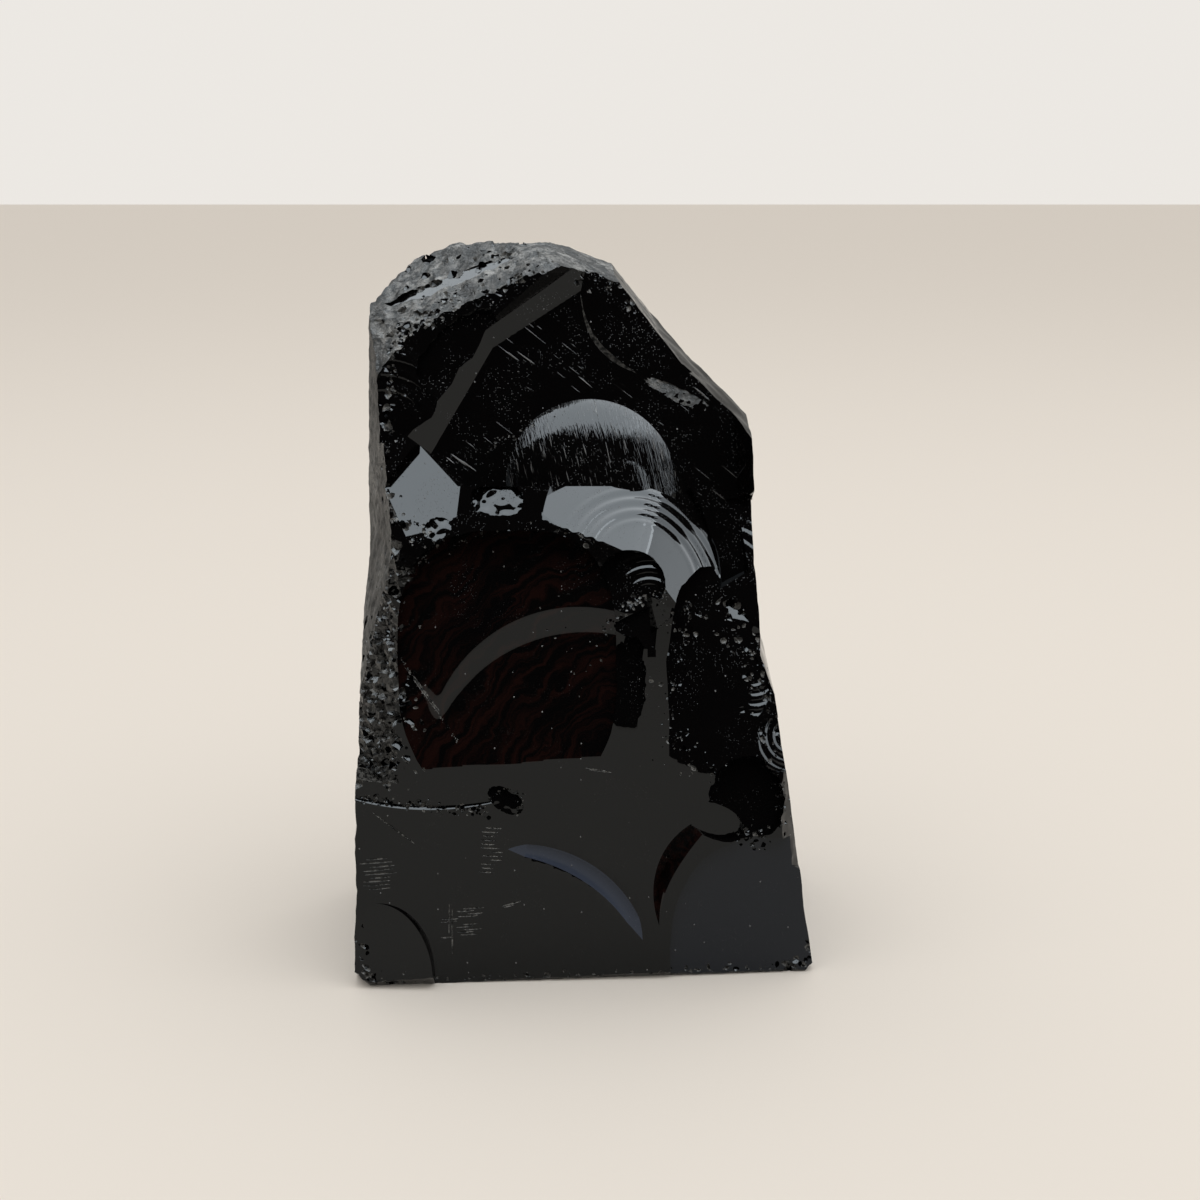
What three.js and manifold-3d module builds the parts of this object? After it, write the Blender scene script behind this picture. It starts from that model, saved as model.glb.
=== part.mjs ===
// Chunk of black obsidian, broken from a larger block of volcanic glass.
// Millimetres, +Z up. The broken front faces -Y, and the chunk stands on a sawn flat
// face at Z = 0. The origin is on that face, under the middle of the whole outline.
//
// The stone is one solid. A rough block is trimmed by cleavage faces, rounded where its
// weathered skin is left, and then hollowed by shell-shaped fracture scars. A direction is
// given as an azimuth (0 looks out of the front, 90 out of the +X side, 180 out of the
// back) and a tilt above the horizon, both in degrees.

import * as THREE from "three";
import { mergeVertices } from "three/addons/utils/BufferGeometryUtils.js";
import Module from "manifold-3d";

const wasm = await Module();
wasm.setup();

// Driving dimensions.
const chunkHeight = 95;
const halfWidth = 30.8;
const frontDepth = 22; // front face ahead of the origin at the foot
const backDepth = 25; // back face behind the origin
const reach = 150; // size of a cutting block, larger than the chunk
const glassColour = 0x0b0b0d;

// Faces that trim the block on every side.
const outerFaces = [
  { at: [0, 0, 0], azimuth: 0, tilt: -90 }, // sawn foot
  { at: [0, -21.7, 0.8], azimuth: 4.5, tilt: -50 }, // narrow bevel under the front
  { at: [-4.5, 0, 94.3], azimuth: 72, tilt: 66 }, // right of the peak
  { at: [-halfWidth, -18, 4], azimuth: -90, tilt: 1 }, // left side
  { at: [-29.4, -18, 28], azimuth: -87, tilt: 2 },
  { at: [0, backDepth, 0], azimuth: 180, tilt: 3 }, // back
  { at: [-18, backDepth - 5, 20], azimuth: -142, tilt: 6 }, // back left corner
  { at: [20, backDepth - 4, 20], azimuth: 136, tilt: 12 }, // back right corner
  { at: [0, 20, 78], azimuth: 175, tilt: 38 }, // back of the crown
];

// Faces that meet only over part of the block: a piece is taken off where the point is
// outside every face of the set.
const brokenCorners = [
  [{ at: [-8, -18.4, 60], azimuth: 0, tilt: 26 }, { at: [-15, -12.3, 70], azimuth: -10, tilt: 16 }],
  [{ at: [26.7, -18.5, 23], azimuth: 58, tilt: 6 }, { at: [28, -18, 15], azimuth: 90, tilt: 60 }],
  [{ at: [23.2, -12, 47], azimuth: 89, tilt: 3 }, { at: [23.4, -12, 43], azimuth: 85, tilt: 21 }],
  [{ at: [30.6, -19, 2.5], azimuth: 91, tilt: 8.5 }, { at: [22.9, -12, 50], azimuth: 89, tilt: 3 }],
  [{ at: [9.6, -3, 84], azimuth: 88, tilt: 38 }, { at: [18.4, -5, 74.6], azimuth: 80, tilt: 49 }],
  [{ at: [-25.9, -11, 72], azimuth: -75, tilt: 1 }, { at: [-25.9, -14, 55], azimuth: -75, tilt: 12 }],
];

// The lower front is two faces, except at the left foot, where a heel swings forward
// inside an upright oval.
const lowerFront = [
  { at: [-11, -frontDepth, 0], azimuth: 2.5, tilt: 1.5 },
  { at: [-3, -21.3, 29], azimuth: 2.5, tilt: 6 },
];
const heelFace = { at: [-24, -22.7, 11], azimuth: -4, tilt: 9 };
const heelOval = { at: [-27, -18, 1], radii: [7.6, 30, 10.5], azimuth: 0, tilt: 0 };

// Weathered crown: outside this full, rounded shape the skin has worn away.
const crown = { at: [-10.7, 4, 73.5], radii: [20, 20, 21.5], fullness: 2.5, rightStretch: 1.7 };
const crownFoot = { at: [0, 0, 73.5], azimuth: 0, tilt: 90 };
const crownFaces = [
  { at: [-11, -6.3, 90.3], azimuth: -35, tilt: 52 },
  { at: [-24.3, -6.5, 83], azimuth: -33, tilt: 33 },
];

// The large upper scar: a floor and a long wall on its left. Swollen lobes of glass stand
// in it, and a smooth seat is broken out of them below the dome.
const upperScar = [
  { at: [2.3, -6.2, 75.3], azimuth: 8, tilt: 12 }, // floor
  { at: [-11.6, -6.66, 82.2], azimuth: 34, tilt: -5 }, // long wall
  { at: [-11.6, -6.66, 82.2], azimuth: 22, tilt: -11 },
  { at: [-5.5, -8.3, 90], azimuth: 43, tilt: -45 }, // the wall's overhanging top
  { at: [15.5, -12, 48], azimuth: 0, tilt: 88 }, // ledge at its lower edge
];
const upperScarLeftEnd = [
  { at: [-14.7, -12, 64.4], azimuth: 90, tilt: 47 },
  { at: [-14.7, -12, 64.9], azimuth: 180, tilt: 80 },
];
const upperScarRightEnd = { at: [15.5, -10, 49], azimuth: 80, tilt: 30 };
const dome = { at: [1.8, -6, 63.3], radii: [13.3, 5.4, 12.6], azimuth: 12, tilt: 8, spin: -30 };
const leftSwell = { at: [-2.6, -6, 62], radii: [12.4, 5, 11.2], azimuth: -12, tilt: 8, spin: 20 };
const bulb = { at: [7.6, -8, 55.3], radii: [12, 10, 8.5], azimuth: 0, tilt: 0, spin: -35 };
const seatFaces = [
  { at: [7.4, -17.3, 57.6], azimuth: 22, tilt: 45 },
  { at: [7.4, -17.3, 57.6], azimuth: 45.5, tilt: 31 },
];
const seatLeftEnd = { at: [-6, -15.8, 65], azimuth: 35, tilt: 15 };
const seatOutline = { at: [7.4, -17.3, 57.6], radii: [12.6, 30, 16], azimuth: 22, tilt: 45 };

// Scars: a floor through "at" that turns up to "rise" at the rim, "reach" away from the
// middle. "power" says how sharply it turns up and "square" how full its outline is.
const scars = {
  leftCorner: {
    at: [-24, -20.4, 44], azimuth: -42, tilt: 5, spin: 0,
    reach: [8.3, 16.3], rise: 1, power: 10, square: 3,
  },
  bigBowl: {
    at: [-9.6, -18.5, 43.2], azimuth: 2, tilt: 9, spin: 0,
    reach: [14.3, 17.3], rise: 1.2, power: 12, square: 3,
  },
  rightHollow: {
    at: [20.4, -16.3, 36.5], azimuth: 12, tilt: 20, spin: 0,
    reach: [10.2, 18.8], rise: 1.6, power: 10, square: 3,
  },
  footFlake: {
    at: [24, -19.2, 3], azimuth: 5, tilt: 2.5, spin: 0,
    reach: [12.8, 16.8], rise: 1, power: 10, square: 2.4,
  },
  footNotch: {
    at: [21.2, -18, 24.4], azimuth: 10, tilt: 15, spin: 10,
    reach: [5.1, 5.7], rise: 1, power: 6, square: 2,
  },
  shoulderScar: {
    at: [10, -0.8, 88], azimuth: 14, tilt: 12, spin: 0,
    reach: [10.8, 10.8], rise: 1.2, power: 8, square: 2,
  },
  brightFacet: {
    at: [-19.9, -15.3, 64.7], azimuth: -6, tilt: 32, spin: 0,
    reach: [5.2, 6], rise: 1.4, power: 8, square: 2,
  },
  crumpledFacet: {
    at: [-10.7, -15.3, 63.3], azimuth: -5, tilt: 34, spin: 0,
    reach: [3.4, 2.2], rise: 1, power: 6, square: 2.6,
  },
  leftCrownScar: {
    at: [-22, -9.2, 77.5], azimuth: -16, tilt: 14, spin: -32,
    reach: [4.8, 8.7], rise: 1, power: 6, square: 2,
  },
  crownHollow: {
    at: [-16.2, -7.6, 82.6], azimuth: -6, tilt: 15, spin: -48,
    reach: [2.7, 6.5], rise: 1, power: 6, square: 2,
  },
  rippleChip: {
    at: [6.2, -16.8, 53.2], azimuth: 5, tilt: 20, spin: 0,
    reach: [4.5, 4.1], rise: 1, power: 6, square: 2,
  },
  rightChip: {
    at: [20.6, -15.6, 39], azimuth: 22, tilt: 21, spin: 0,
    reach: [4.3, 4.7], rise: 1, power: 6, square: 2,
  },
  rightNick: {
    at: [20.9, -8.2, 57], azimuth: 14, tilt: 23, spin: 0,
    reach: [5.4, 5.8], rise: 1, power: 6, square: 2,
  },
  leftSideScar: {
    at: [-28.8, -4, 54], azimuth: -88, tilt: 2, spin: 0,
    reach: [14, 14], rise: 2, power: 2, square: 2,
  },
  backBowl: {
    at: [4, 19, 44], azimuth: 176, tilt: 8, spin: 20,
    reach: [22, 26], rise: 5, power: 2, square: 2,
  },
  backLowScar: {
    at: [-14, 20.5, 16], azimuth: -160, tilt: -6, spin: -15,
    reach: [15, 13], rise: 3.5, power: 2, square: 2,
  },
  backHighScar: {
    at: [16.6, 6.8, 69.6], azimuth: 128, tilt: 17, spin: -20,
    reach: [11, 19], rise: 3, power: 2.2, square: 2,
  },
  backLeftBowl: {
    at: [-23.6, 8.1, 54.8], azimuth: -127, tilt: 7, spin: 15,
    reach: [12, 20], rise: 3.2, power: 2.2, square: 2,
  },
  backFootScar: {
    at: [9, 22.8, 11], azimuth: 177, tilt: 1,
    reach: [16, 12], rise: 3.4, power: 2, square: 2,
  },
  backCornerScar: {
    at: [24.4, 13, 21.6], azimuth: 124, tilt: 10, spin: -12,
    reach: [12, 16], rise: 3.2, power: 2, square: 2,
  },
  leftLowScar: {
    at: [-28.8, -1, 21], azimuth: -91, tilt: 1, spin: 10,
    reach: [13, 15], rise: 3, power: 2, square: 2,
  },
  rightSideScar: {
    at: [24.5, 4, 30], azimuth: 94, tilt: 10, spin: 12,
    reach: [15, 24], rise: 3.5, power: 2, square: 2,
  },
};
const scarSteps = 19; // grid over a scar's floor

// Unit vector that leaves the block at an azimuth and a tilt.
function facing(azimuth, tilt) {
  const turn = THREE.MathUtils.degToRad(azimuth);
  const lift = THREE.MathUtils.degToRad(tilt);
  return new THREE.Vector3(
    Math.sin(turn) * Math.cos(lift),
    -Math.cos(turn) * Math.cos(lift),
    Math.sin(lift),
  );
}

// Places a shape made around its own origin: its +Z leaves the block and its +X lies
// level along the face, before the spin.
function placement({ at, azimuth, tilt, spin = 0 }) {
  const turn = THREE.MathUtils.degToRad(azimuth);
  const out = facing(azimuth, tilt);
  const across = new THREE.Vector3(Math.cos(turn), Math.sin(turn), 0);
  const along = new THREE.Vector3().crossVectors(out, across);
  const matrix = new THREE.Matrix4().makeBasis(across, along, out);
  matrix.multiply(new THREE.Matrix4().makeRotationZ(THREE.MathUtils.degToRad(spin)));
  return matrix.setPosition(...at);
}

function solidOf(geometry) {
  const bare = geometry.clone();
  bare.deleteAttribute("normal");
  bare.deleteAttribute("uv");
  const merged = mergeVertices(bare, 1e-4);
  return new wasm.Manifold(new wasm.Mesh({
    numProp: 3,
    vertProperties: new Float32Array(merged.attributes.position.array),
    triVerts: new Uint32Array(merged.index.array),
  }));
}

function geometryOf(solid) {
  const mesh = solid.getMesh();
  const geometry = new THREE.BufferGeometry();
  geometry.setAttribute("position", new THREE.BufferAttribute(mesh.vertProperties, 3));
  geometry.setIndex(new THREE.BufferAttribute(mesh.triVerts, 1));
  geometry.computeVertexNormals();
  return geometry;
}

// Everything outside one flat face.
function outside(face) {
  const geometry = new THREE.BoxGeometry(2 * reach, 2 * reach, reach);
  geometry.translate(0, 0, reach / 2);
  geometry.applyMatrix4(placement(face));
  return solidOf(geometry);
}

// Everything outside all the faces of a set.
function outsideAll(faces) {
  return faces.map(outside).reduce((left, right) => left.intersect(right));
}

function ellipsoid(shape) {
  const [across, out, along] = shape.radii;
  const geometry = new THREE.SphereGeometry(1, 40, 28);
  geometry.rotateX(Math.PI / 2);
  geometry.scale(across, along, out);
  geometry.applyMatrix4(placement(shape));
  return solidOf(geometry);
}

// A ball pushed out towards a box, by how full it is (2 is an ellipsoid), and longer on
// its right.
function fullBall({ at, radii, fullness, rightStretch }) {
  const geometry = new THREE.SphereGeometry(1, 36, 24);
  const point = geometry.attributes.position;
  for (let i = 0; i < point.count; i += 1) {
    const ray = new THREE.Vector3().fromBufferAttribute(point, i);
    const size = Math.abs(ray.x) ** fullness + Math.abs(ray.y) ** fullness + Math.abs(ray.z) ** fullness;
    ray.multiplyScalar(size ** (-1 / fullness));
    const across = ray.x > 0 ? radii[0] * rightStretch : radii[0];
    point.setXYZ(i, ray.x * across, ray.y * radii[1], ray.z * radii[2]);
  }
  geometry.translate(...at);
  return solidOf(geometry);
}

// A cutting block whose underside is the surface that the scar leaves in the stone.
function scarCutter(scar) {
  const overlap = 1.35; // the floor runs on past its rim by this much
  const width = 2 * overlap * scar.reach[0];
  const length = 2 * overlap * scar.reach[1];
  const lift = 40;
  const geometry = new THREE.BoxGeometry(width, length, lift, scarSteps, scarSteps, 1);
  const point = geometry.attributes.position;
  for (let i = 0; i < point.count; i += 1) {
    if (point.getZ(i) > 0) continue;
    const u = Math.abs(point.getX(i) / scar.reach[0]);
    const v = Math.abs(point.getY(i) / scar.reach[1]);
    const rim = (u ** scar.square + v ** scar.square) ** (1 / scar.square);
    point.setZ(i, Math.min(scar.rise * rim ** scar.power, lift / 4));
  }
  geometry.applyMatrix4(placement(scar));
  return solidOf(geometry);
}

function roughBlock() {
  const geometry = new THREE.BoxGeometry(2 * halfWidth + 4, frontDepth + backDepth + 10, chunkHeight + 1);
  geometry.translate(0, 0, chunkHeight / 2);
  return solidOf(geometry);
}

function breakBlock() {
  let stone = roughBlock();
  const heel = ellipsoid(heelOval).subtract(outside(heelFace));
  for (const face of lowerFront) stone = stone.subtract(outside(face).subtract(heel));
  for (const face of outerFaces) stone = stone.subtract(outside(face));
  for (const faces of brokenCorners) stone = stone.subtract(outsideAll(faces));
  stone = stone.subtract(outside(crownFoot).subtract(fullBall(crown)));
  for (const face of crownFaces) stone = stone.subtract(outside(face));

  const ends = outsideAll(upperScarLeftEnd).add(outside(upperScarRightEnd));
  let hollow = outsideAll(upperScar).intersect(ends);
  const lobes = ellipsoid(dome).add(ellipsoid(leftSwell));
  hollow = hollow.subtract(lobes).subtract(ellipsoid(bulb));
  stone = stone.subtract(hollow);

  let seat = outside(seatFaces[0]).add(outside(seatFaces[1]));
  seat = seat.intersect(outside(seatLeftEnd)).intersect(ellipsoid(seatOutline));
  stone = stone.subtract(seat.subtract(lobes));

  for (const scar of Object.values(scars)) stone = stone.subtract(scarCutter(scar));
  return stone;
}

const obsidian = new THREE.MeshStandardMaterial({ color: glassColour, roughness: 0.08, metalness: 0 });
const chunk = new THREE.Mesh(geometryOf(breakBlock()), obsidian);
chunk.name = "obsidian_chunk";

const group = new THREE.Group();
group.add(chunk);

export default group;
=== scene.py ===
import random
from math import ceil, cos, exp, hypot, pi, radians, sin

import bmesh
import bpy
from mathutils import Matrix, Vector, noise
from mathutils.bvhtree import BVHTree


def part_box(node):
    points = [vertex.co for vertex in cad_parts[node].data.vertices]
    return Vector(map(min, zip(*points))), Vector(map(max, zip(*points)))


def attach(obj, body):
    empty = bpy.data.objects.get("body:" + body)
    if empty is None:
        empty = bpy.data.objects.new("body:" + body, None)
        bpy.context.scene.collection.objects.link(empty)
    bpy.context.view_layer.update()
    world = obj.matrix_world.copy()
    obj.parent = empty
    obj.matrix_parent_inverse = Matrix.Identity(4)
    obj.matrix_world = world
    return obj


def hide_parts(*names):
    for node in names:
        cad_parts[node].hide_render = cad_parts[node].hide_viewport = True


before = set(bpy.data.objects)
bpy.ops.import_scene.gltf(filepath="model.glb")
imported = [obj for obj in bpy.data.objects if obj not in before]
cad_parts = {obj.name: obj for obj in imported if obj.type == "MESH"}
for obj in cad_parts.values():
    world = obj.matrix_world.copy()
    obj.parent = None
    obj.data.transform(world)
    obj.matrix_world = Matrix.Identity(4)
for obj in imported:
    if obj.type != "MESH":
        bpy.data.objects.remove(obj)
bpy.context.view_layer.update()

# The stone is worked in millimetres and brought to metres at the end. Its front looks
# along -Y. A face is given by a point on it, the azimuth it looks along (0 front, 90
# right, 180 back) and its tilt above the horizon in degrees.
drawnHeight = 95
low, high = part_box("obsidian_chunk")
metre = (high.z - low.z) / drawnHeight
halfWidth = (high.x - low.x) / metre / 2
backDepth = high.y / metre
rng = random.Random(7)


def outward(azimuth, tilt):
    turn, lift = radians(azimuth), radians(tilt)
    return Vector((sin(turn) * cos(lift), -cos(turn) * cos(lift), sin(lift)))


def placing(shape):
    # +Z leaves the stone, +X lies level along the face, before the spin
    turn = radians(shape["azimuth"])
    out = outward(shape["azimuth"], shape["tilt"])
    across = Vector((cos(turn), sin(turn), 0))
    along = out.cross(across)
    turned = Matrix((across, along, out)).transposed().to_4x4()
    spin = Matrix.Rotation(radians(shape.get("spin", 0)), 4, "Z")
    return Matrix.Translation(shape["at"]) @ turned @ spin


def smoothStep(a, b, value):
    k = min(max((value - a) / (b - a), 0), 1)
    return k * k * (3 - 2 * k)


# what a cut leaves on its faces, each from 0 to 1: weathered skin, crushed glass, flow
# bands, broken lines and a rough haze, whose bluish tint is a painted sheen of reflected light
finishNames = ("skin", "crushed", "flow", "hackled", "hazeAndPaintedSheen")


def newObject(name, bm, finish=None):
    for layerName in finishNames:
        layer = bm.faces.layers.float.get(layerName) or bm.faces.layers.float.new(layerName)
        value = (finish or {}).get(layerName, 0)
        for face in bm.faces:
            face[layer] = value
    mesh = bpy.data.meshes.new(name)
    bm.to_mesh(mesh)
    bm.free()
    made = bpy.data.objects.new(name, mesh)
    bpy.context.scene.collection.objects.link(made)
    return made


def combine(target, tool, operation):
    step = target.modifiers.new("step", "BOOLEAN")
    step.operation, step.solver, step.object = operation, "MANIFOLD", tool
    graph = bpy.context.evaluated_depsgraph_get()
    result = bpy.data.meshes.new_from_object(target.evaluated_get(graph))
    target.modifiers.clear()
    before, toolMesh = target.data, tool.data
    target.data = result
    bpy.data.objects.remove(tool)
    bpy.data.meshes.remove(before)
    bpy.data.meshes.remove(toolMesh)
    return target


def grainNoise(point, depth, size):
    # soft lumps with finer ones on them
    return depth * noise.fractal(point / size, 0.9, 2.1, 4)


def chipNoise(point, depth, size):
    # small flat facets, each leaning its own way
    cells = noise.voronoi(point / size)
    seed = cells[1][0]
    lean = noise.cell_vector(seed * 7.3)
    away = point / size - seed
    return depth * (lean.dot(away) * 1.2 + (noise.cell(seed * 3.1) - 0.5))


def softAbove(value, soft):
    # max(value, 0) with a rounded corner
    return soft * (max(value / soft, 0) + 0.35 * exp(-2 * abs(value) / soft))


def terraceHeight(step, x, y):
    # an arched band of another slope, between two arcs that bulge along a turned axis
    turn = radians(step["turn"])
    along = x * cos(turn) + y * sin(turn)
    up = y * cos(turn) - x * sin(turn)
    over = []
    for middle, foot, radius in (step["inner"], step["outer"]):
        over.append(up - foot - max(radius ** 2 - (along - middle) ** 2, 0) ** 0.5)
    shown = smoothStep(step["end"] - 3, step["end"], along)
    height = (step["slope"] - step["below"]) * softAbove(over[0], step["soft"])
    height += (step["above"] - step["slope"]) * softAbove(over[1], step["soft"])
    return step["below"] * y + shown * height


def surfaceHeight(shape, x, y):
    # height of the stone over the scar's own flat floor
    reach = shape.get("reach")
    height = 0
    if reach:
        rim = hypot(x / reach[0], y / reach[1])
        height = min(shape["rise"] * rim ** shape["power"], 9)
    step = shape.get("terrace")
    if step:
        height += terraceHeight(step, x, y)
    for ring in shape.get("ripples", ()):
        dx, dy = x - ring["centre"][0], y - ring["centre"][1]
        far = hypot(dx, dy)
        soft = ring.get("soft", 1)
        show = smoothStep(ring["start"], ring["start"] + soft, far)
        show *= 1 - smoothStep(ring["stop"] - soft, ring["stop"], far)
        wave = cos(2 * pi * far / ring["wave"])
        height += ring["height"] * show * wave
    for bend in shape.get("bends", ()):
        # the floor leans by another slope beyond a line
        turn = radians(bend["turn"])
        over = y * cos(turn) - x * sin(turn) - bend["line"]
        height += bend["slope"] * softAbove(over, bend["soft"])
    return height


def underside(shape, x, y, place):
    height = surfaceHeight(shape, x, y)
    at = place @ Vector((x, y, height))
    wave = shape.get("wave", (0.05, 9))
    height += wave[0] * noise.noise(at / wave[1])
    if "grain" in shape:
        height += grainNoise(at, *shape["grain"])
    if "chips" in shape:
        height += chipNoise(at, *shape["chips"])
    return height


def cutterOf(shape):
    # a block whose underside is the surface it leaves in the stone
    place = placing(shape)
    if "reach" in shape:
        pastRim = 1.35
        width, length = (2 * pastRim * side for side in shape["reach"])
    else:
        width, length = shape["span"]
    cell = shape["cell"]
    bm = bmesh.new()
    bmesh.ops.create_grid(bm, x_segments=ceil(width / cell), y_segments=ceil(length / cell),
                          size=0.5)
    bmesh.ops.scale(bm, vec=(width, length, 1), verts=bm.verts)
    for vert in bm.verts:
        vert.co.z = underside(shape, vert.co.x, vert.co.y, place)
    rim = [edge for edge in bm.edges if edge.is_boundary]
    wall = bmesh.ops.extrude_edge_only(bm, edges=rim)["geom"]
    for part in wall:
        if isinstance(part, bmesh.types.BMVert):
            part.co.z = shape.get("lift", 40)
    lid = [part for part in wall if isinstance(part, bmesh.types.BMEdge) and part.is_boundary]
    bmesh.ops.holes_fill(bm, edges=lid, sides=0)
    bmesh.ops.transform(bm, matrix=place, verts=bm.verts)
    bmesh.ops.recalc_face_normals(bm, faces=bm.faces)
    cutter = newObject("cutter", bm, shape.get("finish"))
    if "outline" in shape:
        combine(cutter, columnOf(shape), "INTERSECT")
    return cutter


def columnOf(shape):
    # a block that stands out of the face, its outline round, square or many-cornered
    outline = shape["outline"]
    full = outline.get("square", 2)
    spin = Matrix.Rotation(radians(outline.get("turn", 0)), 3, "Z")
    bm = bmesh.new()
    bmesh.ops.create_circle(bm, cap_ends=True, segments=outline.get("sides", 96), radius=1)
    bmesh.ops.rotate(bm, verts=bm.verts, matrix=spin)
    for vert in bm.verts:
        x, y = vert.co.xy
        size = (abs(x) ** full + abs(y) ** full) ** (-1 / full)
        amount, grainSize = outline.get("ragged", (0, 1))
        size *= 1 + amount * noise.fractal(Vector((x, y, 0)) * 9 / grainSize, 0.8, 2.1, 4)
        vert.co = (x * size * outline["reach"][0], y * size * outline["reach"][1], -9)
    top = bmesh.ops.extrude_face_region(bm, geom=bm.faces[:])["geom"]
    lifted = [part for part in top if isinstance(part, bmesh.types.BMVert)]
    bmesh.ops.translate(bm, vec=(0, 0, 60), verts=lifted)
    bmesh.ops.transform(bm, matrix=placing(shape), verts=bm.verts)
    bmesh.ops.recalc_face_normals(bm, faces=bm.faces)
    return newObject("column", bm, shape.get("finish"))


def grooveOf(groove):
    # a bent rod, thinner at its ends, that lies half sunk along an arc on the face
    start, stop = radians(groove["arc"][0]), radians(groove["arc"][1])
    radius, lift = groove["radius"], groove["lift"]
    upright = Matrix.Translation((radius, 0, lift)) @ Matrix.Rotation(pi / 2, 4, "X")
    bm = bmesh.new()
    bmesh.ops.create_circle(bm, cap_ends=True, segments=groove.get("sides", 20),
                            radius=groove["thick"], matrix=upright)
    bmesh.ops.rotate(bm, verts=bm.verts, matrix=Matrix.Rotation(start, 3, "Z"))
    bmesh.ops.spin(bm, geom=bm.verts[:] + bm.edges[:] + bm.faces[:], cent=(0, 0, 0), axis=(0, 0, 1),
                   angle=stop - start, steps=70, use_duplicate=False)
    middle = Vector((cos((start + stop) / 2), sin((start + stop) / 2), 0))
    for vert in bm.verts:
        ray = Vector((vert.co.x, vert.co.y, 0)).normalized()
        side = middle.x * ray.y - middle.y * ray.x
        part = 0.5 + side / (2 * sin((stop - start) / 2))
        thick = max(sin(pi * min(max(part, 0), 1)), 0) ** groove["blunt"]
        thick *= groove["ends"][0] + (groove["ends"][1] - groove["ends"][0]) * part
        heart = ray * radius + Vector((0, 0, lift))
        vert.co = heart + (vert.co - heart) * max(thick, 0.05)
    bmesh.ops.transform(bm, matrix=placing(groove), verts=bm.verts)
    bmesh.ops.recalc_face_normals(bm, faces=bm.faces)
    return newObject("groove", bm, groove.get("finish"))


def cutterOfAll(shapes):
    whole = cutterOf(shapes[0])
    for shape in shapes[1:]:
        combine(whole, cutterOf(shape), "INTERSECT")
    return whole


def ballOf(shape):
    across, out, along = shape["radii"]
    bm = bmesh.new()
    bmesh.ops.create_uvsphere(bm, u_segments=shape.get("around", 96),
                              v_segments=shape.get("up", 64), radius=1)
    bmesh.ops.scale(bm, vec=(across, along, out), verts=bm.verts)
    bmesh.ops.transform(bm, matrix=placing(shape), verts=bm.verts)
    bmesh.ops.recalc_face_normals(bm, faces=bm.faces)
    return newObject("ball", bm, shape.get("finish"))


# the stone's faces and scars, each group in the order it is cut
worn = {"skin": 1}

outerFaces = {
    "rightOfPeak": {
        "at": (-4.5, 0, 94.3), "azimuth": 72, "tilt": 66, "span": (60, 60), "cell": 0.6,
        "grain": (0.25, 2.2), "finish": worn,
    },
    "left": {
        "at": (-halfWidth, -18, 4), "azimuth": -90, "tilt": 1, "span": (90, 110), "cell": 1.1,
        "grain": (0.2, 2.6),
    },
    "leftUpper": {
        "at": (-29.4, -18, 28), "azimuth": -87, "tilt": 2, "span": (90, 150), "cell": 0.9,
        "grain": (0.22, 2.4),
    },
    "back": {
        "at": (0, backDepth, 0), "azimuth": 180, "tilt": 3, "span": (90, 200), "cell": 1.6,
        "wave": (0.25, 14),
    },
    "backLeft": {
        "at": (-18, backDepth - 5, 20), "azimuth": -142, "tilt": 6, "span": (70, 170),
        "cell": 1.6, "wave": (0.25, 12),
    },
    "backRight": {
        "at": (20, backDepth - 4, 20), "azimuth": 136, "tilt": 12, "span": (70, 170), "cell": 1.6,
        "wave": (0.25, 12),
    },
    "backOfCrown": {
        "at": (0, 20, 78), "azimuth": 175, "tilt": 38, "span": (90, 90), "cell": 0.8,
        "grain": (0.35, 2.6), "finish": worn,
    },
}

brokenCorners = {
    "frontUpper": [
        {"at": (-8, -18.4, 60), "azimuth": 0, "tilt": 26, "span": (90, 110), "cell": 0.8},
        {"at": (-15, -12.3, 70), "azimuth": -10, "tilt": 16, "span": (90, 90), "cell": 0.8},
    ],
    "rightFoot": [
        {
            "at": (26.7, -18.5, 23), "azimuth": 58, "tilt": 6, "span": (60, 90), "cell": 0.5,
            "grain": (0.15, 1.5),
        },
        {"at": (28, -18, 15), "azimuth": 90, "tilt": 60, "span": (90, 60), "cell": 0.6},
    ],
    "rightUpper": [
        {
            "at": (23.2, -12, 47), "azimuth": 89, "tilt": 3, "span": (90, 110), "cell": 0.8,
            "grain": (0.2, 5),
        },
        {
            "at": (23.4, -12, 43), "azimuth": 85, "tilt": 21, "span": (90, 110), "cell": 0.8,
            "grain": (0.2, 5),
        },
    ],
    "right": [
        {
            "at": (30.6, -19, 2.5), "azimuth": 91, "tilt": 8.5, "span": (110, 120), "cell": 1,
            "grain": (0.16, 6),
        },
        {
            "at": (22.9, -12, 50), "azimuth": 89, "tilt": 3, "span": (110, 130), "cell": 1,
            "grain": (0.16, 6),
        },
    ],
    "shoulder": [
        {
            "at": (9.6, -3, 84), "azimuth": 88, "tilt": 38, "span": (70, 60), "cell": 0.6,
            "grain": (0.2, 5),
        },
        {
            "at": (18.4, -5, 74.6), "azimuth": 80, "tilt": 49, "span": (80, 50), "cell": 0.6,
            "grain": (0.2, 4),
        },
    ],
    "leftTop": [
        {
            "at": (-25.9, -11, 72), "azimuth": -75, "tilt": 1.0, "span": (80, 80), "cell": 0.5,
            "grain": (0.22, 1.6), "finish": worn,
        },
        {
            "at": (-25.9, -14, 55), "azimuth": -75, "tilt": 12, "span": (80, 90), "cell": 0.5,
            "grain": (0.22, 1.6), "finish": worn,
        },
    ],
}

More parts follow.
